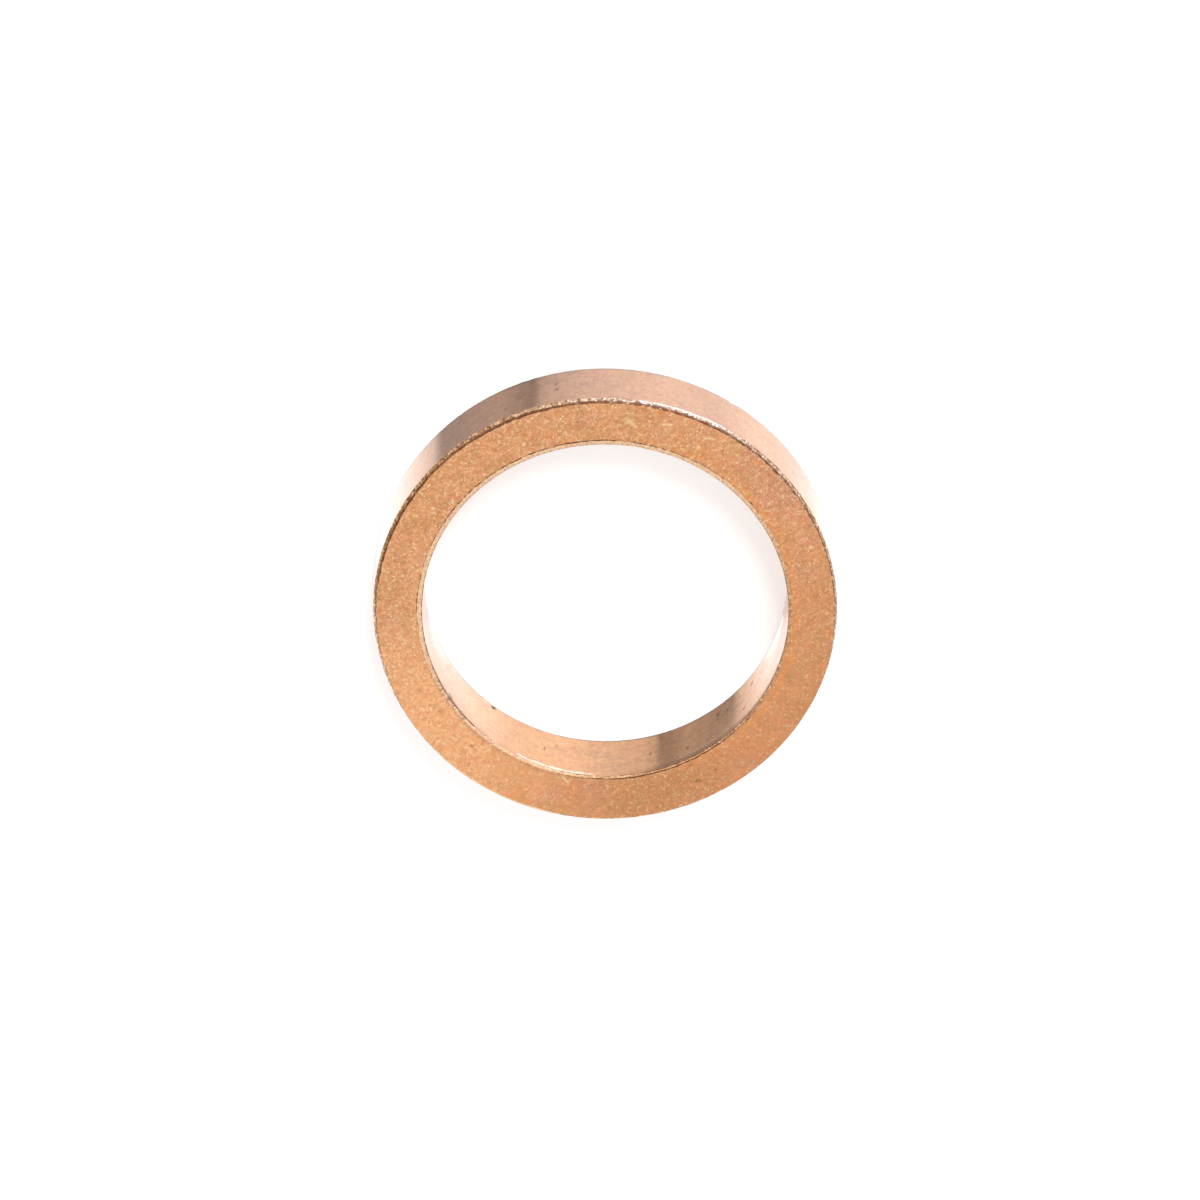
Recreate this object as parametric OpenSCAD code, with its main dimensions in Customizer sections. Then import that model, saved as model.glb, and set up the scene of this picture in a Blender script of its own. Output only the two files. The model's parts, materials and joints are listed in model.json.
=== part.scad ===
// Plain cylindrical bushing of sintered bronze: a short ring that presses into a
// housing and carries a shaft in its bore. It stands on one end face, with the
// bore along Z and the origin on the bore's axis, in the plane of the lower face.

/* [Ring] */
// Outer diameter, which presses into the housing
outer_d = 19; // [18:0.5:26]
// Bore diameter, in which the shaft runs
bore_d = 15; // [10:0.5:16]
// Length from end face to end face
ring_length = 3.4; // [1.4:0.1:12]

/* [Chamfers] */
// How far the outer rims' steep chamfer cuts into each end face
outer_chamfer_width = 0.12; // [0.05:0.01:0.4]
// How far the outer rims' steep chamfer runs along the outer wall
outer_chamfer_depth = 0.24; // [0.1:0.01:0.6]
// How far the bore's shallow chamfer cuts into each end face
bore_chamfer_width = 0.18; // [0.1:0.01:0.4]
// How far the bore's shallow chamfer runs along the bore's wall
bore_chamfer_depth = 0.04; // [0.02:0.01:0.4]
// Radius that eases the corners of every chamfer
edge_radius = 0.05; // [0.02:0.01:0.1]

/* [Hidden] */
// Radii of the two walls
outer_r = outer_d / 2;
bore_r = bore_d / 2;
// Straight steps in each eased corner
corner_steps = 4;
// Sides of the circles that the section sweeps
$fn = 180;

// Unit vector from one point to another
function unit(from, to) = (to - from) / norm(to - from);

// Points of the arc that eases the corner at b, on the way from a to c
function eased_corner(a, b, c, radius) =
    let (
        back = unit(b, a),
        ahead = unit(b, c),
        half_angle = acos(back * ahead) / 2,
        middle = (back + ahead) / norm(back + ahead),
        centre = b + middle * radius / sin(half_angle),
        first = b + back * radius / tan(half_angle) - centre,
        last = b + ahead * radius / tan(half_angle) - centre,
        turn = 180 - 2 * half_angle
    )
    [
        for (step = [0 : corner_steps])
            let (share = step / corner_steps)
            centre + (first * sin(turn * (1 - share)) + last * sin(turn * share)) / sin(turn)
    ];

// Closed outline with all its corners eased
function eased_outline(points, radius) =
    let (count = len(points))
    [
        for (i = [0 : count - 1])
            each eased_corner(
                points[(i + count - 1) % count],
                points[i],
                points[(i + 1) % count],
                radius
            )
    ];

// Section of the ring in the half-plane of radius and height, with a chamfer at
// each of its four corners
function ring_section() = [
    [bore_r + bore_chamfer_width, 0],
    [outer_r - outer_chamfer_width, 0],
    [outer_r, outer_chamfer_depth],
    [outer_r, ring_length - outer_chamfer_depth],
    [outer_r - outer_chamfer_width, ring_length],
    [bore_r + bore_chamfer_width, ring_length],
    [bore_r, ring_length - bore_chamfer_depth],
    [bore_r, bore_chamfer_depth],
];

// The whole bushing, one pressed and sized piece
module bushing() {
    color([0.80, 0.56, 0.36])
        rotate_extrude()
            polygon(eased_outline(ring_section(), edge_radius));
}

bushing();
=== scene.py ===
"""Looks of a short sintered bronze bushing that stands on one end face on a white floor.

The ring is one revolved mesh with the grain, the torn chamfer edges, the pits and the
nicks of the real one in its surface, and one procedural metal that tells the granular
end faces, the chamfers and the burnished walls apart. Lengths are in millimetres
until a mesh or a lamp is made. Angles named "photo angle" run anticlockwise from the
right of the picture as it shows the upper end face.
"""

import json
import math

import bpy
import numpy as np
from mathutils import Matrix, Vector, noise


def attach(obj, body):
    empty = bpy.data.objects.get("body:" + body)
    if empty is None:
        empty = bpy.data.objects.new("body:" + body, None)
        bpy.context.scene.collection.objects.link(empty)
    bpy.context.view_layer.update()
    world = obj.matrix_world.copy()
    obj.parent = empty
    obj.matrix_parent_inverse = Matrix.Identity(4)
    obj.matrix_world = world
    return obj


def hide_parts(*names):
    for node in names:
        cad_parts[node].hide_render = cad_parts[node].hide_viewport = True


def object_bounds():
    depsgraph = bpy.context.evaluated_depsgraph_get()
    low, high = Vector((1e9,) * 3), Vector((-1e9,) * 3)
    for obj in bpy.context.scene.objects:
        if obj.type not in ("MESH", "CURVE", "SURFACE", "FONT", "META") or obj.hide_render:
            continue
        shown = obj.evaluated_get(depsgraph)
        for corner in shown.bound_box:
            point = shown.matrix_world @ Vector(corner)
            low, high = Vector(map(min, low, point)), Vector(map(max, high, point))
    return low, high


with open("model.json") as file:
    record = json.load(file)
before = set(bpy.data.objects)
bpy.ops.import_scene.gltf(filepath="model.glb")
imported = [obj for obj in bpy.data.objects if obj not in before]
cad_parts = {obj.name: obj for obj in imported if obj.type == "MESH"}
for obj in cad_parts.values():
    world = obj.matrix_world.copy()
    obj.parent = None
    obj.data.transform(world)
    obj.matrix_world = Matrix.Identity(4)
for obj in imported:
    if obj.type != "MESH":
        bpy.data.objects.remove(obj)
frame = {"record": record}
cad_low, cad_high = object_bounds()

# Sizes, in millimetres

MM = 0.001
MOUNTS = {mount["name"]: mount for mount in frame["record"]["mounts"]}
OUTER_R = MOUNTS["outside"]["dims"]["r_mm"]
BORE_R = MOUNTS["bore"]["dims"]["r_mm"]
MIDDLE_R = (OUTER_R + BORE_R) / 2
LENGTH = cad_high.z / MM
RIM_WIDTH, RIM_DEPTH = 0.12, 0.24    # outer chamfer, into the end face and along the wall
LIP_WIDTH, LIP_DEPTH = 0.18, 0.04    # bore chamfer, the same two ways
# Widths in the photo by photo angle: the ring's chamfers run a little out of centre
RIM_WIDTHS = ((195, 0.12), (225, 0.07), (345, 0.07), (355, 0.12))
LIP_WIDTHS = (
    (0, 0.15), (20, 0.19), (60, 0.18), (120, 0.19), (150, 0.20), (180, 0.205), (205, 0.18), (215, 0.15),
    (225, 0.13), (245, 0.11), (265, 0.10), (300, 0.08), (325, 0.09), (345, 0.12),
)

# Mesh density: about 185,000 triangles

COLUMNS = 800
FACE_STEPS = 24
CHAMFER_STEPS = 6
WALL_STEPS = 16
FACE_END_STATIONS = (0.0, 0.03, 0.07)    # closer together beside a corner
WALL_END_STATIONS = (0.0, 0.04, 0.11, 0.15)
END_GAP = 1.4    # the even stations start this many times as far from the corner as the last one

# The section's eight corners, from the lower face's inner one outward and round. The leg that
# starts at a corner has the corner's number.

(
    LOWER_INNER, LOWER_OUTER, OUTER_FOOT, OUTER_TOP,
    UPPER_OUTER, UPPER_INNER, BORE_TOP, BORE_FOOT,
) = range(8)

# Torn edges: how far each corner wanders, from the bore's wall outward, and in what lengths

LOWER_TEAR = (0.005, 0.012, 0.012, 0.012)
UPPER_TEAR = (0.010, 0.018, 0.018, 0.045)
LOWER_SEED, UPPER_SEED = 11, 41
LONG_TEAR, SHORT_TEAR = 0.45, 0.16
SHORT_TEAR_SHARE = 0.9

# Size and seed of the coarse grain, the fine grain and the waves, and their height by zone

GRAINS = ((0.22, 1), (0.10, 2), (2.5, 3))
GRAIN_HEIGHTS = {
    "face": (0.003, 0.006, 0.0),
    "rim": (0.010, 0.016, 0.0),
    "lip": (0.003, 0.005, 0.0),
    "wall": (0.0004, 0.0, 0.0010),
}
SEED_SHIFT = (7.3, 3.1, 5.7)    # how far a seed of 1 moves the noise, in its own grain sizes

# Marks that the photo shows: photo angle, mm below the upper face, radius, depth

OUTER_MARKS = (
    (101.8, 1.55, 0.07, 0.020),
    (102.1, 2.10, 0.06, 0.015),
    (52.1, 1.81, 0.05, 0.012),
    (53.4, 1.95, 0.04, 0.010),
    (36.0, 1.45, 0.06, 0.012),
    (34.2, 1.80, 0.06, 0.012),
    (32.6, 2.15, 0.05, 0.010),
    (56.9, 3.22, 0.14, 0.050),
)
BORE_MARKS = (
    (231.7, 3.26, 0.11, 0.060),
    (211.5, 0.16, 0.12, 0.030),
    (340.0, 0.07, 0.06, 0.020),
    (201.5, 2.92, 0.06, 0.015),
    (209.0, 2.28, 0.05, 0.015),
    (250.2, 1.70, 0.04, 0.010),
    (254.2, 2.37, 0.05, 0.015),
    (284.3, 1.70, 0.04, 0.010),
    (296.9, 1.03, 0.06, 0.010),
    (307.1, 1.60, 0.06, 0.015),
    (308.2, 2.52, 0.07, 0.020),
    (312.2, 2.38, 0.06, 0.020),
    (317.6, 2.60, 0.06, 0.020),
    (319.4, 1.08, 0.06, 0.015),
    (318.4, 1.98, 0.05, 0.015),
    (323.6, 2.56, 0.08, 0.020),
    (327.5, 2.04, 0.06, 0.015),
)

# Flecks and pits of the upper face: photo angle and radius of both ends, half the width. The flecks are
# raised lighter grain with painted glints.
FACE_FLECKS = (
    (83.6, 8.66, 81.4, 8.36, 0.036),
    (82.9, 8.63, 84.1, 8.52, 0.034),
    (74.4, 8.74, 72.0, 8.82, 0.038),
    (62.8, 8.78, 61.0, 8.90, 0.036),
    (141.6, 7.90, 141.1, 7.96, 0.050),
    (19.5, 8.90, 18.9, 8.93, 0.045),
    (270.5, 7.93, 270.1, 7.94, 0.030),
    (258.9, 7.96, 256.6, 7.71, 0.040),
)
FACE_PITS = (
    (295.7, 8.57, 297.2, 8.63, 0.045),
    (302.0, 8.47, 302.4, 8.50, 0.040),
    (97.5, 8.57, 96.9, 8.61, 0.045),
    (296.8, 7.78, 296.4, 7.80, 0.050),
    (228.2, 8.20, 227.7, 8.22, 0.050),
)
FLECK_HEIGHT, PIT_DEPTH, LINE_DEPTH = 0.006, 0.025, 0.010
PIT_DARKNESS = 0.6
MARK_SHADE_REACH = 1.25    # of a mark's dark spot, in its radii

# Strength of the fine lines along the corners: photo angle, 0 to 1. The dark lines are dirt in small
# grooves and partly painted shade, set by angle as the light falls.

FACE_RIM_LINE = ((15, 0.25), (45, 0.70), (65, 0.95), (160, 1.00), (178, 0.45), (205, 0.10), (345, 0.10))
FACE_LIP_LINE = (
    (0, 0.25), (30, 0.40), (60, 0.50), (90, 0.75), (120, 0.65), (180, 0.55), (205, 0.20), (215, 0.15),
    (235, 0.30), (248, 0.25), (262, 0.65), (275, 0.90), (308, 0.85), (325, 0.45), (345, 0.25),
)
BORE_EDGE_LINE = (
    (20, 0.60), (60, 0.40), (110, 0.30), (150, 0.60), (206, 0.85), (223, 0.85), (232, 0.15), (245, 0.15),
    (262, 0.45), (280, 0.55), (292, 0.90), (340, 0.85),
)
# Painted shade on the bore's wall just below its top edge
BORE_TOP_PAINTED_SHADE = (
    (190, 0.0), (205, 0.60), (216, 0.65), (226, 0.20), (240, 0.0), (270, 0.0), (280, 0.35), (295, 0.85),
    (305, 1.0), (318, 1.0), (335, 0.55), (350, 0.0),
)
# Painted highlight along the bore's top edge
BORE_EDGE_GLINT = ((236, 0.0), (244, 0.80), (258, 0.70), (266, 0.50), (274, 0.15), (284, 0.0))
# Painted shade where the walls meet the floor, bluish in the bore
OUTER_FOOT_PAINTED_SHADE = ((20, 0.10), (50, 0.40), (95, 0.45), (108, 0.75), (140, 0.80), (160, 0.20))
BORE_FOOT_PAINTED_SHADE = ((215, 0.10), (255, 0.35), (285, 0.95), (330, 0.95), (348, 0.30))
# Painted highlights along the outer chamfer and the face's outer edge
RIM_GLINT = ((54, 0.0), (61, 0.80), (74, 0.80), (82, 0.45), (92, 0.30), (104, 0.0))
FACE_RIM_GLINT = (
    (205, 0.0), (225, 0.45), (238, 0.85), (254, 0.80), (263, 0.15), (272, 0.50), (298, 0.50), (308, 0.10),
    (335, 0.0),
)
BORE_EDGE_TEAR = ((195, 1.0), (210, 3.0), (225, 2.6), (240, 1.2), (300, 1.2), (335, 1.0))
RIM_CALM = ((46, 0.0), (61, 0.6), (84, 0.6), (104, 0.0), (222, 0.0), (242, 0.8), (335, 0.8), (350, 0.0))

# Kind of each line, the corner that it follows, its reach before and after it, and its strength
LINES = (
    # Dark lines: dirt in the small grooves and painted shade
    ("dark", LOWER_OUTER, 0.02, 0.03, FACE_RIM_LINE),
    ("dark", UPPER_OUTER, 0.03, 0.02, FACE_RIM_LINE),
    ("dark", LOWER_INNER, 0.0, 0.025, FACE_LIP_LINE),
    ("dark", UPPER_INNER, 0.025, 0.0, FACE_LIP_LINE),
    ("dark", BORE_FOOT, 0.05, 0.02, BORE_EDGE_LINE),
    ("dark", BORE_TOP, 0.02, 0.05, BORE_EDGE_LINE),
    # Painted highlights, white and gold
    ("white", BORE_TOP, -0.09, 0.20, BORE_EDGE_GLINT),
    ("white", OUTER_TOP, 0.0, 0.07, RIM_GLINT),
    ("white", OUTER_FOOT, 0.07, 0.0, RIM_GLINT),
    ("gold", UPPER_OUTER, 0.0, 0.03, FACE_RIM_GLINT),
    ("gold", LOWER_OUTER, 0.03, 0.0, FACE_RIM_GLINT),
    # Painted shade at the walls' feet
    ("foot", OUTER_FOOT, 0.0, 0.08, OUTER_FOOT_PAINTED_SHADE),
    ("foot", BORE_FOOT, 0.09, 0.0, BORE_FOOT_PAINTED_SHADE),
    # Painted shade below the bore's top edge
    ("shade", BORE_TOP, -0.01, 0.20, BORE_TOP_PAINTED_SHADE),
)

# How lively the face's grain and its painted glints and shade are, how bright the painted reflection on
# the chamfers is and how torn the inner one is
FACE_SPARKLE = ((0, 0.65), (40, 0.9), (80, 1.0), (225, 0.95), (245, 0.55), (300, 0.50), (340, 0.45))
LIP_PAINTED_SHINE = (
    (0, 0.15), (20, 0.45), (45, 1.00), (180, 0.95), (205, 0.85), (225, 1.00), (240, 1.00), (255, 0.85),
    (265, 0.40), (276, 0.20), (285, 0.10), (310, 0.0), (335, 0.10),
)
LIP_TEAR = ((20, 0.4), (40, 0.1), (195, 0.0), (206, 0.9), (220, 0.9), (232, 0.1), (285, 0.2), (340, 0.4))
RIM_PAINTED_SHINE = (
    (0, 0.45), (30, 0.50), (50, 0.80), (60, 1.00), (92, 1.00), (104, 0.50), (130, 0.20), (145, 0.05),
    (172, 0.05), (200, 0.70), (335, 0.70),
)


def world_angle(photo_angle):
    """Radians round +Z of a photo angle in degrees: the picture is seen from -Y, upside down."""
    return math.radians(photo_angle + 180)


def by_angle(stops, angles):
    """Value of a list of (photo angle, value) at each world angle."""
    turn = np.degrees(angles - world_angle(0)) % 360
    return np.interp(turn, [stop[0] for stop in stops], [stop[1] for stop in stops], period=360)


# The section's eight legs: zone and length

FACE_LEG = ("face", OUTER_R - RIM_WIDTH - BORE_R - LIP_WIDTH)
RIM_LEG = ("rim", math.hypot(RIM_WIDTH, RIM_DEPTH))
LIP_LEG = ("lip", math.hypot(LIP_WIDTH, LIP_DEPTH))
OUTER_LEG = ("outer", LENGTH - 2 * RIM_DEPTH)
BORE_LEG = ("bore", LENGTH - 2 * LIP_DEPTH)
LEGS = (FACE_LEG, RIM_LEG, OUTER_LEG, RIM_LEG, FACE_LEG, LIP_LEG, BORE_LEG, LIP_LEG)
CHAMFER_LEGS = (LOWER_OUTER, OUTER_TOP, UPPER_INNER, BORE_FOOT)
CORNERS = np.concatenate([[0.0], np.cumsum([length for _, length in LEGS])])
GIRTH = CORNERS[-1]


def leg_shares(zone, length):
    """Where a leg's stations lie, from 0 to less than 1."""
    if zone in ("rim", "lip"):
        return np.linspace(0, 1, CHAMFER_STEPS + 1)[:-1]
    steps = FACE_STEPS if zone == "face" else WALL_STEPS
    ends = np.array(FACE_END_STATIONS if zone == "face" else WALL_END_STATIONS) / length
    middle = np.linspace(0, 1, steps + 1)
    middle = middle[(middle > END_GAP * ends[-1]) & (middle < 1 - END_GAP * ends[-1])]
    return np.concatenate([ends, middle, 1 - ends[:0:-1]])


def stations():
    """Leg, share of the leg and place along the section of every station."""
    legs, shares, places = [], [], []
    for number, (zone, length) in enumerate(LEGS):
        share = leg_shares(zone, length)
        legs.append(np.full(len(share), number))
        shares.append(share)
        places.append(CORNERS[number] + share * length)
    return np.concatenate(legs), np.concatenate(shares), np.concatenate(places)


def past(places, corner):
    """Signed way along the section from a corner."""
    return (places - CORNERS[corner] + GIRTH / 2) % GIRTH - GIRTH / 2


def beside(places, corner, before, after, fade=0.025):
    """1 from so far before a corner to so far after it, fading out beyond."""
    way = past(places, corner)
    return np.clip((before + fade + way) / fade, 0, 1) * np.clip((after + fade - way) / fade, 0, 1)


def inside(places, zone, fade=0.04):
    """1 on the legs of a zone, 0.5 at their corners and 0 elsewhere."""
    value = np.zeros_like(places)
    for number, (name, length) in enumerate(LEGS):
        if name == zone:
            way = past(places, number)
            value = np.maximum(value, np.clip(np.minimum(way, length - way) / fade + 0.5, 0, 1))
    return value


# The surface's unevenness


def bumps(points, size, seed):
    """Smooth noise of about that grain size at each of the points, from -1 to 1."""
    shift = Vector([seed * part for part in SEED_SHIFT])
    flat = (points / size).reshape(-1, 3)
    values = [noise.noise(Vector(p) + shift) for p in flat.tolist()]
    return np.array(values).reshape(points.shape[:-1])


def swept(radius, height, angles):
    """Points at these radii and heights in every column."""
    return np.stack([radius * np.cos(angles), radius * np.sin(angles), height + 0 * angles], -1)


def ragged(height, angles, amount, seed):
    """How far a torn edge wanders from its place at each angle."""
    ring = swept(OUTER_R, height, angles)
    wander = bumps(ring, LONG_TEAR, seed) + SHORT_TEAR_SHARE * bumps(ring, SHORT_TEAR, seed + 1)
    return amount * wander


def end_corners(face_height, inward, angles, amounts, seed):
    """The four corners at one end: bore wall, face inside, face outside, outer wall."""
    wander = [ragged(face_height, angles, amount, seed + 3 * i) for i, amount in enumerate(amounts)]
    lip_width = by_angle(LIP_WIDTHS, angles)
    lip_depth = LIP_DEPTH * lip_width / LIP_WIDTH + wander[0] * by_angle(BORE_EDGE_TEAR, angles)
    rim_width = by_angle(RIM_WIDTHS, angles) - wander[2] * (1 - by_angle(RIM_CALM, angles))
    zero = 0 * angles
    return (
        (BORE_R + zero, face_height + inward * lip_depth),
        (BORE_R + lip_width + wander[1], face_height + zero),
        (OUTER_R - rim_width, face_height + zero),
        (OUTER_R + zero, face_height + inward * (RIM_DEPTH + wander[3])),
    )


def plain_section(angles, legs, shares):
    """Radius and height of each station in every column."""
    low = end_corners(0.0, 1, angles, LOWER_TEAR, LOWER_SEED)
    high = end_corners(LENGTH, -1, angles, UPPER_TEAR, UPPER_SEED)
    corners = (low[1], low[2], low[3], high[3], high[2], high[1], high[0], low[0])
    start_r = np.array([corner[0] for corner in corners])
    start_z = np.array([corner[1] for corner in corners])
    end_r, end_z = np.roll(start_r, -1, 0), np.roll(start_z, -1, 0)
    share = shares[:, None]
    radius = start_r[legs] * (1 - share) + end_r[legs] * share
    height = start_z[legs] * (1 - share) + end_z[legs] * share
    return radius, height


def section_normals(radius, height):
    """Outward direction of the section at each station."""
    along_r = np.roll(radius, -1, 0) - np.roll(radius, 1, 0)
    along_z = np.roll(height, -1, 0) - np.roll(height, 1, 0)
    size = np.hypot(along_r, along_z)
    return along_z / size, -along_r / size


def relief(points, zones):
    """Height of the surface's own unevenness over the plain section."""
    layers = [bumps(points, size, seed) for size, seed in GRAINS]
    lift = np.zeros(points.shape[:2])
    for zone, heights in GRAIN_HEIGHTS.items():
        for height, layer in zip(heights, layers):
            lift += height * layer * zones[zone][:, None]
    return lift


def mark_depth(marks, wall_r, angles, height):
    """Depth of the listed pits and nicks, and how dark they are, over a wall."""
    depth = np.zeros_like(height)
    dark = np.zeros_like(height)
    for photo_angle, below, size, deep in marks:
        turn = (angles - world_angle(photo_angle) + math.pi) % (2 * math.pi) - math.pi
        away = np.hypot(turn * wall_r, height - (LENGTH - below)) / size
        depth = np.maximum(depth, deep * np.exp(-away ** 2))
        dark = np.maximum(dark, np.exp(-(away / MARK_SHADE_REACH) ** 4))
    return depth, dark


def drawn(strokes, angles, radius):
    """1 on the listed strokes of the upper face, fading to 0 beside them."""
    turn = angles - world_angle(0)
    x, y = radius * np.cos(turn), radius * np.sin(turn)
    value = np.zeros_like(x)
    for start_angle, start_r, end_angle, end_r, half_width in strokes:
        start, end = (
            np.array([r * math.cos(math.radians(a)), r * math.sin(math.radians(a))])
            for a, r in ((start_angle, start_r), (end_angle, end_r))
        )
        way = end - start
        share = ((x - start[0]) * way[0] + (y - start[1]) * way[1]) / (way @ way)
        share = np.clip(share, 0, 1)
        away = np.hypot(x - start[0] - share * way[0], y - start[1] - share * way[1])
        value = np.maximum(value, np.exp(-(away / half_width) ** 2))
    return value


def corner_lines(places, angles):
    """Strength of each kind of line."""
    lines = {}
    for kind, corner, before, after, stops in LINES:
        strength = beside(places, corner, before, after)[:, None] * by_angle(stops, angles)
        lines[kind] = lines.get(kind, 0) + strength
    return lines


def surface_marks(angles, legs, radius, height, on_face):
    """Depth and darkness of the listed marks, and the bright flecks, which are raised lighter grain with
    painted glints.
    """
    outside = radius > MIDDLE_R
    off_face = (on_face < 1)[:, None]
    outer_cut, outer_dark = mark_depth(OUTER_MARKS, OUTER_R, angles, height)
    bore_cut, bore_dark = mark_depth(BORE_MARKS, BORE_R, angles, height)
    upper_face = (legs == UPPER_OUTER)[:, None]
    fleck = drawn(FACE_FLECKS, angles, radius) * upper_face
    pit = drawn(FACE_PITS, angles, radius) * upper_face
    cut = np.where(outside, outer_cut, bore_cut) * off_face + PIT_DEPTH * pit - FLECK_HEIGHT * fleck
    dark = np.where(outside, outer_dark, bore_dark) * off_face + PIT_DARKNESS * pit
    return cut, dark, fleck


def closed_mesh(points):
    """A mesh that joins each station to the next one and each column to the next one."""
    count, columns = points.shape[:2]
    i, j = np.meshgrid(np.arange(count), np.arange(columns), indexing="ij")
    row, next_row = i * columns, (i + 1) % count * columns
    next_j = (j + 1) % columns
    quads = np.stack([row + j, row + next_j, next_row + next_j, next_row + j], -1)
    mesh = bpy.data.meshes.new("bushing_ring")
    mesh.from_pydata((points.reshape(-1, 3) * MM).tolist(), [], quads.reshape(-1, 4).tolist())
    mesh.shade_smooth()
    return mesh


def ring_mesh():
    """The ring, with the layers that its material reads."""
    angles = np.linspace(0, 2 * math.pi, COLUMNS, endpoint=False)
    legs, shares, places = stations()
    zones = {name: inside(places, name) for name in ("face", "rim", "outer", "bore", "lip")}
    zones["wall"] = zones["outer"] + zones["bore"]
    lines = corner_lines(places, angles)

    radius, height = plain_section(angles, legs, shares)
    normal_r, normal_z = section_normals(radius, height)
    cut, dark, fleck = surface_marks(angles, legs, radius, height, zones["face"])
    rim = zones["rim"][:, None]
    calm = 1 - rim * by_angle(RIM_CALM, angles)
    lift = relief(swept(radius, height, angles), zones) * calm - LINE_DEPTH * lines["dark"] - cut
    mesh = closed_mesh(swept(radius + normal_r * lift, height + normal_z * lift, angles))

    toward_face = np.isin(legs, (OUTER_TOP, BORE_FOOT))
    rise = np.where(toward_face, shares, 1 - shares) * np.isin(legs, CHAMFER_LEGS)
    layers = {
        "wall": zones["wall"][:, None],
        "rim": rim,
        "lip": zones["lip"][:, None],
        "rise": rise[:, None],
        "mark": dark,
        "fleck": fleck,
        "sparkle": by_angle(FACE_SPARKLE, angles),
        # How bright the painted reflection on each chamfer is, by angle
        "shine": rim * by_angle(RIM_PAINTED_SHINE, angles) + (1 - rim) * by_angle(LIP_PAINTED_SHINE, angles),
        "tear": by_angle(LIP_TEAR, angles),
        **lines,
    }
    for name, values in layers.items():
        set_layer(mesh, name, np.broadcast_to(values, radius.shape))
    return mesh


def set_layer(mesh, name, values):
    """Gives every point of a mesh its value under a name."""
    layer = mesh.attributes.new(name, "FLOAT", "POINT")
    layer.data.foreach_set("value", np.ascontiguousarray(values, dtype=np.float32).ravel())


# Material helpers


def srgb(red, green, blue):
    """A picture colour of 0 to 255 as the linear colour that the shader takes."""
    def linear(value):
        value /= 255
        return value / 12.92 if value < 0.04045 else ((value + 0.055) / 1.055) ** 2.4
    return (linear(red), linear(green), linear(blue), 1.0)


class Tree:
    """Short ways to add nodes to a material or world."""

    def __init__(self, owner):
        owner.use_nodes = True
        self.tree = owner.node_tree
        self.tree.nodes.clear()

    def add(self, kind, sockets=None, **settings):
        node = self.tree.nodes.new(kind)
        for name, value in settings.items():
            setattr(node, name, value)
        for name, value in (sockets or {}).items():
            self.feed(node.inputs[name], value)
        return node

    def feed(self, socket, value):
        if isinstance(value, bpy.types.NodeSocket):
            self.tree.links.new(value, socket)
        else:
            socket.default_value = value

    def math(self, operation, a, b=0.0):
        return self.add("ShaderNodeMath", {0: a, 1: b}, operation=operation).outputs[0]

    def times(self, a, b):
        return self.math("MULTIPLY", a, b)

    def step(self, value, low, high):
        """0 below low, 1 above high and smooth between; low may be above high."""
        node = self.add(
            "ShaderNodeMapRange",
            {"Value": value, "From Min": low, "From Max": high},
            interpolation_type="SMOOTHSTEP",
        )
        return node.outputs["Result"]

    def span(self, value, low, high):
        """Takes 0 to 1 onto low to high."""
        node = self.add("ShaderNodeMapRange", {"Value": value, "To Min": low, "To Max": high})
        return node.outputs["Result"]

    def mix(self, factor, a, b):
        node = self.add("ShaderNodeMix", data_type="RGBA")
        self.feed(node.inputs[0], factor)
        self.feed(node.inputs[6], a)
        self.feed(node.inputs[7], b)
        return node.outputs[2]

    def tint(self, colour, value, low, high, amount, shade):
        """Mixes so much of a shade into a colour where a value goes from low to high."""
        return self.mix(self.times(self.step(value, low, high), amount), colour, shade)

    def mix_value(self, factor, a, b):
        node = self.add("ShaderNodeMix", data_type="FLOAT")
        self.feed(node.inputs[0], factor)
        self.feed(node.inputs[2], a)
        self.feed(node.inputs[3], b)
        return node.outputs[0]

    def stretch(self, vector, scale):
        """The place to look a noise up at, so that its spots are shorter where the scale is large."""
        node = self.add("ShaderNodeVectorMath", {0: vector, 1: scale}, operation="MULTIPLY")
        return node.outputs[0]

    def noise(self, vector, scale, detail=2.0, rough=0.5, distortion=0.0):
        sockets = {
            "Vector": vector,
            "Scale": scale,
            "Detail": detail,
            "Roughness": rough,
            "Distortion": distortion,
        }
        return self.add("ShaderNodeTexNoise", sockets).outputs["Fac"]

    def cells(self, vector, scale):
        """Distance to the nearest cell's middle, and two random numbers of the cell."""
        node = self.add("ShaderNodeTexVoronoi", {"Vector": vector, "Scale": scale})
        channels = self.add("ShaderNodeSeparateColor", {"Color": node.outputs["Color"]})
        return node.outputs["Distance"], channels.outputs[0], channels.outputs[1]

    def radius(self, place):
        """Way from the bore's axis."""
        flat = self.stretch(place, (1.0, 1.0, 0.0))
        return self.add("ShaderNodeVectorMath", {0: flat}, operation="LENGTH").outputs["Value"]

    def near(self, place, photo_angle, radius, reach):
        """1 close to a place on the upper face, fading to 0 at the reach."""
        turn = world_angle(photo_angle)
        spot = (radius * math.cos(turn), radius * math.sin(turn), LENGTH)
        gap = self.add("ShaderNodeVectorMath", {0: place, 1: spot}, operation="DISTANCE")
        return self.step(gap.outputs["Value"], reach, 0.1 * reach)

    def layer(self, name):
        """Value that the mesh stores under a name."""
        return self.add("ShaderNodeAttribute", attribute_name=name).outputs["Fac"]


# The metal

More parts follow.
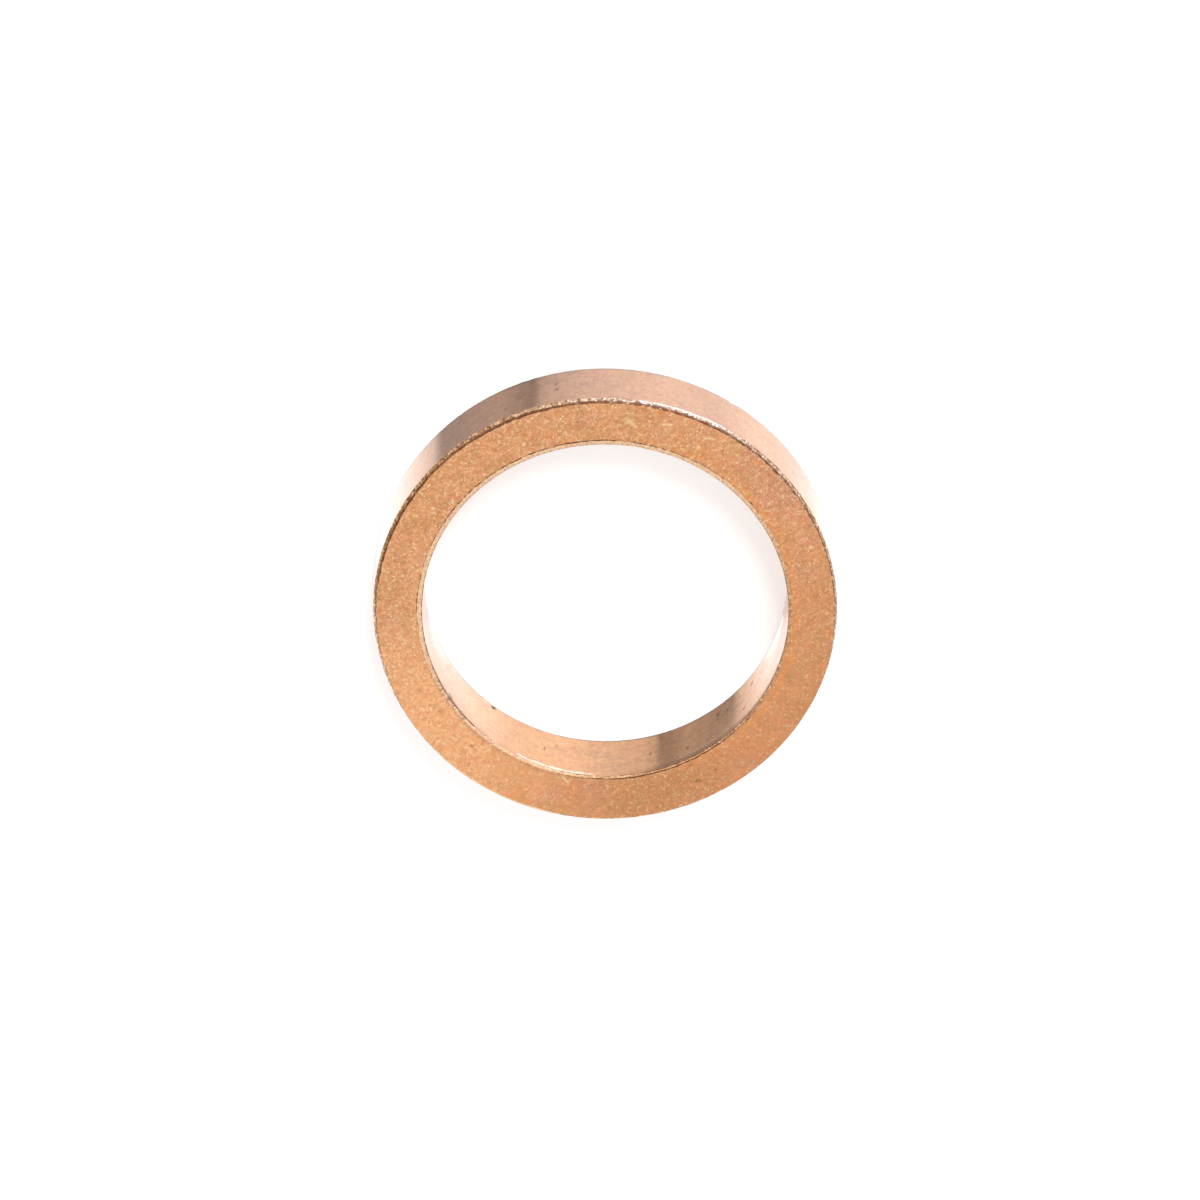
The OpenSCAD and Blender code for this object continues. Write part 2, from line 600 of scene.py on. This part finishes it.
# Colours of the end faces, the walls, the outer chamfers, the bore's chamfers and the lines
FACE = {
    "dull": srgb(217, 150, 101),
    "clear": srgb(234, 167, 120),
    "pink": srgb(222, 154, 128),
    "olive": srgb(204, 160, 106),
    "orange": srgb(235, 154, 96),
    "halo": srgb(239, 157, 88),
    "land": srgb(208, 154, 116),
    "small_orange": srgb(230, 148, 96),
    "small_olive": srgb(207, 158, 104),
    "dark_grain": srgb(168, 112, 74),
    "light_grain": srgb(255, 208, 160),
    "streak": srgb(255, 220, 168),
    "hollow": srgb(172, 110, 74),
    "fleck": srgb(255, 228, 180),
    "pore": srgb(126, 80, 54),
}
WALL = {
    "dull": srgb(221, 172, 142),
    "clear": srgb(228, 181, 150),
    "pink": srgb(228, 170, 148),
    "smudge": srgb(198, 160, 142),
    "light_spot": srgb(242, 192, 152),
    "dark_spot": srgb(204, 157, 132),
    "light_grain": srgb(248, 206, 172),
    "dark_grain": srgb(198, 150, 122),
    "dark_speck": srgb(120, 84, 64),
    "light_speck": srgb(255, 230, 200),
}
RIM = {
    "worn_low": srgb(122, 82, 58),
    "shiny_low": srgb(152, 108, 80),
    "worn_high": srgb(206, 152, 106),
    "shiny_high": srgb(242, 208, 180),
    "worn_glint": srgb(246, 202, 152),
    "shiny_glint": srgb(255, 243, 234),
    "deep": srgb(116, 76, 54),
}
LIP = {
    "worn_low": srgb(180, 126, 88),
    "worn_high": srgb(218, 168, 122),
    "shiny_low": srgb(228, 180, 142),
    "shiny_high": srgb(254, 218, 182),
    "gap": srgb(146, 100, 66),
    "bead": srgb(255, 216, 166),
}
LINE = {
    "white": srgb(255, 248, 250),
    "gold": srgb(252, 210, 166),
    "shade": srgb(70, 44, 30),
    "dark": srgb(110, 69, 47),
    "outer_foot": srgb(98, 94, 98),
    "bore_foot": srgb(84, 94, 134),
    "mark": srgb(78, 54, 42),
}

# Patches of the end faces: stretch and scale of their noise, where they set in and where they are
# full, amount, colour
FACE_PATCHES = (
    ((1.0, 1.0, 1.0), 0.55, 0.48, 0.66, 0.6, FACE["pink"]),
    ((1.0, 1.0, 3.0), 1.05, 0.53, 0.66, 0.6, FACE["olive"]),
    ((1.0, 1.0, 2.0), 0.80, 0.52, 0.64, 0.6, FACE["orange"]),
)
# Broad patches on the faces: photo angle, radius, reach, amount, colour. The lighter patch at 216 and the
# darker ones at 284 and 312 are painted light and shade, lighter at the lower left of the upper face and
# darker at its lower right.
BROAD_PATCHES_AND_PAINTED_LIGHT = (
    (216, 8.5, 7.0, 0.95, srgb(255, 188, 136)),
    (312, 8.6, 10.0, 0.42, srgb(196, 134, 92)),
    (284, 8.8, 5.0, 0.45, srgb(184, 126, 86)),
    (38, 9.1, 2.2, 0.45, srgb(206, 140, 126)),
    (96, 9.34, 0.45, 0.45, srgb(176, 146, 116)),
    (180, 9.4, 1.6, 0.30, srgb(208, 146, 130)),
    (355, 8.6, 6.5, 0.28, srgb(198, 138, 96)),
)
HALO = (5, 8.0, 15.0)      # of the orange band round the bore: photo angle, radius, reach
HALO_WIDTH = (0.62, 0.26)  # out from the bore's wall, where it sets in and where it is full
LAND_WIDTH = (0.30, 0.16)  # of the browner land inside it, the same way
BUMP_HEIGHT = 0.010        # of the finest grain, which is finer than the mesh


def broad_colour(t, place):
    """Patches and rings of colour on the sintered end faces, with broad painted light and shade across
    them.
    """
    patches = t.noise(place, 1.3, detail=4.0, rough=0.6)
    colour = t.mix(t.step(patches, 0.35, 0.65), FACE["dull"], FACE["clear"])
    for stretch, scale, low, high, amount, shade in FACE_PATCHES:
        patches = t.noise(t.stretch(place, stretch), scale, detail=4.0, rough=0.6)
        colour = t.tint(colour, patches, low, high, amount, shade)
    # Broad patches, some of them painted light and shade across the face
    for photo_angle, radius, reach, amount, shade in BROAD_PATCHES_AND_PAINTED_LIGHT:
        colour = t.mix(t.times(t.near(place, photo_angle, radius, reach), amount), colour, shade)

    radius = t.radius(place)
    halo = t.step(radius, BORE_R + HALO_WIDTH[0], BORE_R + HALO_WIDTH[1])
    halo = t.times(halo, t.step(t.noise(place, 3.2, detail=4.0, rough=0.65), 0.36, 0.56))
    colour = t.mix(t.times(halo, t.times(t.near(place, *HALO), 0.85)), colour, FACE["halo"])
    return t.tint(colour, radius, BORE_R + LAND_WIDTH[0], BORE_R + LAND_WIDTH[1], 0.75, FACE["land"])


def granular_look(t, place):
    """Colour, roughness and height of the sintered end faces."""
    colour = broad_colour(t, place)
    hue = t.noise(place, 2.6, detail=5.0, rough=0.65)
    colour = t.tint(colour, hue, 0.52, 0.63, 0.45, FACE["small_orange"])
    colour = t.tint(colour, hue, 0.48, 0.37, 0.40, FACE["small_olive"])
    sparkle = t.layer("sparkle")
    _, tone, _ = t.cells(place, 10.0)
    grain = t.mix(tone, FACE["dark_grain"], FACE["light_grain"])
    colour = t.mix(t.times(sparkle, 0.26), colour, grain)
    drift = t.noise(place, 8.0, detail=2.0, rough=0.6, distortion=0.9)
    # Painted highlights on the crests of the grain's bump
    streak = t.times(t.step(drift, 0.56, 0.66), sparkle)
    colour = t.mix(t.times(streak, 0.75), colour, FACE["streak"])
    # Painted shade in the grain's hollows, where its bump is low
    hollow = t.times(t.step(drift, 0.43, 0.31), sparkle)
    colour = t.mix(t.times(hollow, 0.30), colour, FACE["hollow"])

    # Bright flecks: lighter grain with painted glints
    reach, pick, _ = t.cells(place, 4.6)
    bent = t.math("ADD", reach, t.span(drift, -0.16, 0.16))
    fleck = t.times(t.step(bent, 0.21, 0.12), t.step(pick, 0.60, 0.67))
    fleck = t.math("MAXIMUM", t.times(fleck, sparkle), t.layer("fleck"))
    colour = t.mix(t.times(fleck, 0.85), colour, FACE["fleck"])
    reach, pick, _ = t.cells(t.stretch(place, (1.3, 1.3, 1.3)), 2.4)
    pore = t.times(t.step(reach, 0.17, 0.08), t.step(pick, 0.80, 0.86))
    colour = t.mix(t.times(pore, 0.35), colour, FACE["pore"])

    roughness = t.mix_value(t.math("MAXIMUM", fleck, streak), t.span(tone, 0.44, 0.54), 0.34)
    height = t.math("ADD", drift, t.times(fleck, 0.3))
    height = t.math("SUBTRACT", height, t.times(pore, 0.6))
    return colour, roughness, height


def burnished_look(t, place):
    """Colour, roughness and height of the sized walls."""
    streaks = t.noise(t.stretch(place, (6.0, 6.0, 0.6)), 1.0, detail=3.0)
    blotches = t.noise(place, 1.1, detail=4.0, rough=0.6)
    mottle = t.noise(place, 3.0, detail=3.0, rough=0.6)
    smudges = t.noise(t.stretch(place, (0.6, 0.6, 1.8)), 1.0, detail=4.0, rough=0.6)
    grain = t.noise(place, 8.5, detail=2.0, rough=0.6, distortion=0.4)
    colour = t.mix(t.step(streaks, 0.3, 0.7), WALL["dull"], WALL["clear"])
    colour = t.tint(colour, blotches, 0.50, 0.64, 0.7, WALL["pink"])
    colour = t.tint(colour, smudges, 0.52, 0.66, 0.6, WALL["smudge"])
    colour = t.tint(colour, mottle, 0.52, 0.66, 0.5, WALL["light_spot"])
    colour = t.tint(colour, mottle, 0.47, 0.34, 0.5, WALL["dark_spot"])
    colour = t.tint(colour, grain, 0.54, 0.68, 0.45, WALL["light_grain"])
    colour = t.tint(colour, grain, 0.44, 0.32, 0.40, WALL["dark_grain"])
    reach, pick, shade = t.cells(place, 2.2)
    speck = t.times(t.step(reach, 0.13, 0.06), t.step(pick, 0.82, 0.86))
    speck_colour = t.mix(t.step(shade, 0.45, 0.55), WALL["dark_speck"], WALL["light_speck"])
    colour = t.mix(t.times(speck, 0.6), colour, speck_colour)
    roughness = t.math("ADD", t.span(streaks, 0.11, 0.16), t.times(blotches, 0.06))
    height = t.math("ADD", t.times(streaks, 0.04), t.times(grain, 0.08))
    return colour, roughness, height


def torn_look(t, place):
    """Colour and roughness of the torn outer chamfers: broken grain over brown with painted glints,
    lighter or darker by the painted reflection at each angle, and darker brown towards the end face.
    """
    reach, pick, _ = t.cells(place, 8.0)
    broken = t.noise(place, 8.0, detail=3.0, rough=0.7)
    fray = t.noise(place, 4.0, detail=2.0)
    deep = t.math("ADD", t.layer("rise"), t.span(fray, -0.35, 0.35))
    shine = t.layer("shine")
    low = t.mix(shine, RIM["worn_low"], RIM["shiny_low"])
    high = t.mix(shine, RIM["worn_high"], RIM["shiny_high"])
    colour = t.mix(t.step(broken, 0.38, 0.60), low, high)
    glint = t.times(t.step(reach, 0.60, 0.35), t.step(pick, 0.35, 0.55))
    colour = t.mix(glint, colour, t.mix(shine, RIM["worn_glint"], RIM["shiny_glint"]))
    colour = t.tint(colour, deep, 0.48, 0.74, 0.85, RIM["deep"])
    return colour, t.mix_value(glint, 0.38, 0.24)


def pressed_look(t, place):
    """Colour of the bore's chamfers, a narrow land round the bore, lighter or darker by the painted
    reflection at each angle, with torn gaps and painted glints.
    """
    broken = t.step(t.noise(place, 8.0, detail=3.0, rough=0.7), 0.38, 0.62)
    dim_reflection = t.mix(broken, LIP["worn_low"], LIP["worn_high"])
    lit_reflection = t.mix(broken, LIP["shiny_low"], LIP["shiny_high"])
    colour = t.mix(t.layer("shine"), dim_reflection, lit_reflection)
    gap = t.step(t.noise(place, 5.0, detail=2.0, rough=0.7), 0.48, 0.57)
    colour = t.mix(t.times(t.times(gap, t.layer("tear")), 0.65), colour, LIP["gap"])
    # Painted glints on the land
    reach, pick, _ = t.cells(place, 8.0)
    bead = t.times(t.step(reach, 0.50, 0.30), t.step(pick, 0.50, 0.62))
    return t.mix(t.times(bead, 0.7), colour, LIP["bead"])


def broken_line(t, strength, fray):
    """Where a line shows: all along where it is strong, in short lengths where it is weak."""
    line = t.step(t.math("ADD", strength, t.span(fray, -0.9, 0.9)), 0.30, 0.75)
    return t.times(line, t.step(strength, 0.0, 0.2))


def lined_colour(t, place, colour):
    """Draws over a colour the painted glints, the painted shade along the bore's top, the dark lines of
    dirt and painted shade along the corners, the painted shade at the walls' feet and the listed marks.
    """
    # Painted highlights: white and gold glints along the corners
    for kind, scale in (("white", 2.6), ("gold", 3.0)):
        line = broken_line(t, t.layer(kind), t.noise(place, scale, detail=4.0, rough=0.75))
        colour = t.mix(line, colour, LINE[kind])
    # Painted shade along the top of the bore's wall
    colour = t.mix(t.times(t.layer("shade"), 0.65), colour, LINE["shade"])
    # Dark lines along the corners: dirt in the small grooves and painted shade
    dark = broken_line(t, t.layer("dark"), t.noise(place, 3.6, detail=4.0, rough=0.75))
    colour = t.mix(dark, colour, LINE["dark"])
    # Painted shade at the walls' feet, bluish in the bore
    in_bore = t.step(t.radius(place), MIDDLE_R, BORE_R)
    foot_shade_colour = t.mix(in_bore, LINE["outer_foot"], LINE["bore_foot"])
    colour = t.mix(t.times(t.layer("foot"), 0.92), colour, foot_shade_colour)
    return t.mix(t.times(t.layer("mark"), 0.85), colour, LINE["mark"])


def sintered_bronze():
    """The metal of the whole ring, which tells its zones apart by the mesh's layers."""
    material = bpy.data.materials.new("sintered_bronze")
    t = Tree(material)
    place = t.stretch(t.add("ShaderNodeTexCoord").outputs["Object"], (1 / MM, 1 / MM, 1 / MM))
    face_colour, face_rough, face_height = granular_look(t, place)
    wall_colour, wall_rough, wall_height = burnished_look(t, place)
    rim_colour, rim_rough = torn_look(t, place)
    lip_colour = pressed_look(t, place)
    wall, rim, lip = (t.step(t.layer(name), 0.35, 0.65) for name in ("wall", "rim", "lip"))

    colour = t.mix(wall, face_colour, wall_colour)
    colour = t.mix(rim, colour, rim_colour)
    colour = t.mix(lip, colour, lip_colour)
    colour = lined_colour(t, place, colour)
    roughness = t.mix_value(wall, face_rough, wall_rough)
    roughness = t.mix_value(rim, roughness, rim_rough)
    height = t.mix_value(wall, face_height, wall_height)

    bump = t.add("ShaderNodeBump", {"Height": height, "Strength": 1.0, "Distance": BUMP_HEIGHT * MM})
    sockets = {
        "Base Color": colour,
        "Roughness": roughness,
        "Metallic": 1.0,
        "Normal": bump.outputs[0],
    }
    metal = t.add("ShaderNodeBsdfPrincipled", sockets)
    out = t.add("ShaderNodeOutputMaterial")
    t.feed(out.inputs["Surface"], metal.outputs[0])
    return material


# Floor, world and lamp

FLOOR_SIDE = 1.2           # metres
FLOOR_GREY = 0.80
WHITE_TOP_UP = 0.42        # what the floor lacks to white where it is seen
WORLD_LIGHT = 0.80
MIRRORED_WORLD = 0.92      # brightness of the world in the metal
SUN_STRENGTH = 1.25
SUN_ELEVATION = 50         # degrees
SUN_PHOTO_ANGLE = 76
SUN_WIDTH = 16             # degrees across, for soft shadows


def only_seen(t):
    """1 where a camera, mirror or glass ray meets the surface, 0 where it only lights others."""
    path = t.add("ShaderNodeLightPath")
    seen = t.math("MAXIMUM", path.outputs["Is Camera Ray"], path.outputs["Is Glossy Ray"])
    return t.math("MAXIMUM", seen, path.outputs["Is Transmission Ray"])


def make_floor():
    """White paper that keeps the ring's shadow and is brought up to white only where it is seen."""
    mesh = bpy.data.meshes.new("floor")
    half = FLOOR_SIDE / 2
    corners = [(-half, -half, 0), (half, -half, 0), (half, half, 0), (-half, half, 0)]
    mesh.from_pydata(corners, [], [(0, 1, 2, 3)])
    floor = bpy.data.objects.new("floor", mesh)
    bpy.context.collection.objects.link(floor)
    material = bpy.data.materials.new("white_paper")
    t = Tree(material)
    paper = t.add("ShaderNodeBsdfDiffuse", {"Color": (FLOOR_GREY, FLOOR_GREY, FLOOR_GREY, 1)})
    glow = t.add("ShaderNodeEmission", {"Strength": t.times(only_seen(t), WHITE_TOP_UP)})
    both = t.add("ShaderNodeAddShader", {0: paper.outputs[0], 1: glow.outputs[0]})
    out = t.add("ShaderNodeOutputMaterial")
    t.feed(out.inputs["Surface"], both.outputs[0])
    mesh.materials.append(material)


def make_world():
    """Even light from all round, white in the picture."""
    world = bpy.data.worlds.new("studio")
    bpy.context.scene.world = world
    t = Tree(world)
    path = t.add("ShaderNodeLightPath")
    strength = t.mix_value(path.outputs["Is Glossy Ray"], WORLD_LIGHT, MIRRORED_WORLD)
    strength = t.mix_value(path.outputs["Is Camera Ray"], strength, 1.0)
    back = t.add("ShaderNodeBackground", {"Color": (1, 1, 1, 1), "Strength": strength})
    out = t.add("ShaderNodeOutputWorld")
    t.feed(out.inputs["Surface"], back.outputs[0])


def make_sun():
    """One broad lamp, high up on the side that is at the top of the picture."""
    lamp = bpy.data.lights.new("key", "SUN")
    lamp.energy = SUN_STRENGTH
    lamp.angle = math.radians(SUN_WIDTH)
    sun = bpy.data.objects.new("key", lamp)
    bpy.context.collection.objects.link(sun)
    turn, rise = world_angle(SUN_PHOTO_ANGLE), math.radians(SUN_ELEVATION)
    way = Vector((math.cos(turn) * math.cos(rise), math.sin(turn) * math.cos(rise), math.sin(rise)))
    sun.rotation_euler = way.to_track_quat("Z", "Y").to_euler()


# What the walls and the rim mirror. Cards on the floor, seen only in the metal, give them the
# bright and dark bands of the photo's studio. Each card lies where the mirror image of the
# camera's view falls: close to the ring for the upright walls, further out for the rim.

VIEW_TILT = 25.05          # degrees between the line of sight and the bore's axis
RIM_TILT = math.atan(RIM_WIDTH / RIM_DEPTH)
CARD_LIFT = 0.01           # over the floor
CARD_COLUMNS = 441
CARD_ROWS = 12
WALL_REACH, WALL_EVEN = (0.0, 2.6), (0.0, 1.7)     # out from the ring's foot
RIM_REACH, RIM_EVEN = (2.7, 24.0), (7.0, 17.0)

# Photo angle of a surface's normal, and brightness of what it mirrors
WALL_BANDS = (
    (2, 1.0), (12, 1.5), (20, 1.6), (30, 1.42), (40, 1.28), (50, 1.33), (60, 1.10), (75, 1.14),
    (90, 0.96), (102, 0.76), (105.6, 0.66), (108.0, 0.38), (110, 0.40), (117, 0.54), (129, 0.45),
    (134.8, 0.45), (138.2, 0.98), (143, 1.20), (150, 1.45), (158, 1.6), (168, 1.5), (178, 1.0),
)
BORE_BANDS = (
    (12, 1.4), (20, 1.85), (30, 1.68), (40, 1.50), (50, 1.42), (60, 1.22), (75, 1.25), (90, 1.02),
    (102, 0.85), (105.8, 0.68), (107.8, 0.37), (110, 0.40), (117, 0.54), (129, 0.42),
    (134.8, 0.42), (138.2, 0.90), (143, 1.08), (150, 1.55), (158, 1.9), (168, 1.5),
)
RIM_BANDS = (
    (0, 0.92), (58, 1.05), (62, 1.45), (84, 1.45), (90, 1.15), (104, 1.0), (128, 0.75), (142, 0.58),
    (162, 0.62), (180, 0.92),
)
# Photo angle of a surface's normal, and how yellow what it mirrors is
WALL_WARMTH = ((30, 0.05), (45, 0.30), (60, 0.20), (100, 0.15), (118, 0.35), (132, 0.20), (150, 0.0))
RIM_WARMTH = ((0, 0.3), (45, 0.6), (58, 0.0), (88, 0.05), (106, 1.0), (180, 1.0))
BORE_WARMTH = ((12, 0.0), (35, 0.25), (50, 0.70), (65, 1.0), (130, 1.0), (142, 0.6), (155, 0.1))
COOL = (0.99, 1.00, 1.05)
WARM = (1.04, 0.94, 0.78)
GOLD = (1.05, 0.92, 0.68)
CARD_EDGE = 0.92           # brightness into which the cards fade, that of the floor


def mirrored(normal, tilt):
    """Direction in which surfaces at these photo angles, tilted up so far, mirror the camera."""
    view = np.array([0.0, math.sin(math.radians(VIEW_TILT)), math.cos(math.radians(VIEW_TILT))])
    x, y = np.cos(normal) * math.cos(tilt), np.sin(normal) * math.cos(tilt)
    face = np.stack([x, y, math.sin(tilt) + 0 * normal], -1)
    return 2 * (face @ view)[:, None] * face - view


def card_mesh(name, wall_r, tilt, degrees, turn, reach):
    """A card that runs out from the wall's foot along the way in which the wall mirrors."""
    normal = np.radians(degrees)
    way = mirrored(normal, tilt)[:, :2]
    way = way / np.linalg.norm(way, axis=1)[:, None]
    foot = normal + math.radians(turn)
    out = np.linspace(*reach, CARD_ROWS)[None, :]
    x = wall_r * np.cos(foot)[:, None] + out * way[:, :1]
    y = wall_r * np.sin(foot)[:, None] + out * way[:, 1:]
    points = np.stack([-x, -y, CARD_LIFT + 0 * x], -1) * MM
    across, along = x.shape
    i, j = np.meshgrid(np.arange(across - 1), np.arange(along - 1), indexing="ij")
    first = i * along + j
    quads = np.stack([first, first + along, first + along + 1, first + 1], -1).reshape(-1, 4)
    mesh = bpy.data.meshes.new(name)
    mesh.from_pydata(points.reshape(-1, 3).tolist(), [], quads.tolist())
    return mesh


def glow_colour(mesh, degrees, glow, reach, even):
    """Gives a card its brightness and tint by the angle, fading out beyond its even part."""
    bands, warmth, warm = glow
    level = np.interp(degrees, *zip(*bands))[:, None]
    share = np.interp(degrees, *zip(*warmth))[:, None]
    colour = level * (np.array(COOL) * (1 - share) + np.array(warm) * share)
    out = np.linspace(*reach, CARD_ROWS)
    full = np.clip((reach[1] - out) / (reach[1] - even[1]), 0, 1)
    if even[0] > reach[0]:
        full = np.minimum(full, (out - reach[0]) / (even[0] - reach[0]))
    full = full[None, :, None]
    colour = colour[:, None, :] * full + CARD_EDGE * (1 - full)
    colour = np.concatenate([colour, np.ones_like(colour[..., :1])], -1)
    layer = mesh.attributes.new("glow", "FLOAT_COLOR", "POINT")
    layer.data.foreach_set("color", np.ascontiguousarray(colour, dtype=np.float32).ravel())


def card_material():
    """Light in the colour that the card's mesh stores."""
    material = bpy.data.materials.new("studio_card")
    t = Tree(material)
    glow = t.add("ShaderNodeAttribute", attribute_name="glow")
    lit = t.add("ShaderNodeEmission", {"Color": glow.outputs["Color"]})
    out = t.add("ShaderNodeOutputMaterial")
    t.feed(out.inputs["Surface"], lit.outputs[0])
    return material


# Name, wall, tilt, span of photo angles, turn from the normal to its place, glow, reach, even part
CARDS = (
    ("card_outside", OUTER_R, 0.0, (2, 178), 0, (WALL_BANDS, WALL_WARMTH, WARM), WALL_REACH, WALL_EVEN),
    ("card_inside", BORE_R, 0.0, (12, 168), 180, (BORE_BANDS, BORE_WARMTH, WARM), WALL_REACH, WALL_EVEN),
    ("card_rim", OUTER_R, RIM_TILT, (0, 180), 0, (RIM_BANDS, RIM_WARMTH, GOLD), RIM_REACH, RIM_EVEN),
)


def make_cards():
    """The cards, hidden from all but mirror rays."""
    material = card_material()
    for name, wall_r, tilt, span, turn, glow, reach, even in CARDS:
        degrees = np.linspace(*span, CARD_COLUMNS)
        mesh = card_mesh(name, wall_r, tilt, degrees, turn, reach)
        glow_colour(mesh, degrees, glow, reach, even)
        mesh.materials.append(material)
        card = bpy.data.objects.new(name, mesh)
        bpy.context.collection.objects.link(card)
        card.visible_camera = card.visible_diffuse = card.visible_shadow = False
        card.visible_transmission = False


# Camera

VIEW_TURN = 0.36           # degrees that the line of sight swings sideways
VIEW_SHIFT = (0.0223, 0.0522)   # of the ring's upper face in the view, in outer radii
VIEW_DISTANCE = 43.1       # in outer radii
PHOTO_SIDE = 1200          # pixels
FOCAL_PIXELS = 10000
SENSOR_WIDTH = 36          # mm
NEAREST, FARTHEST = 0.01, 10    # metres that the camera sees


def make_camera():
    """A long lens that looks down on the ring from -Y, turned so that -Y is up."""
    data = bpy.data.cameras.new("camera")
    data.sensor_width = SENSOR_WIDTH
    data.lens = data.sensor_width * FOCAL_PIXELS / PHOTO_SIDE
    data.clip_start, data.clip_end = NEAREST, FARTHEST
    camera = bpy.data.objects.new("camera", data)
    bpy.context.collection.objects.link(camera)
    offset = Vector((*VIEW_SHIFT, VIEW_DISTANCE)) * OUTER_R * MM
    camera.matrix_world = (
        Matrix.Translation((0, 0, LENGTH * MM))
        @ Matrix.Rotation(math.pi, 4, "Y")
        @ Matrix.Rotation(-math.radians(VIEW_TILT), 4, "X")
        @ Matrix.Rotation(-math.radians(VIEW_TURN), 4, "Y")
        @ Matrix.Translation(-offset)
        @ Matrix.Rotation(math.pi, 4, "X")
    )
    bpy.context.scene.camera = camera


# Build

mesh = ring_mesh()
mesh.materials.append(sintered_bronze())
ring = bpy.data.objects.new("bushing_ring", mesh)
bpy.context.collection.objects.link(ring)
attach(ring, "root")
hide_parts("bushing")

make_floor()
make_world()
make_sun()
make_cards()
make_camera()
bpy.context.scene.view_settings.view_transform = "Standard"
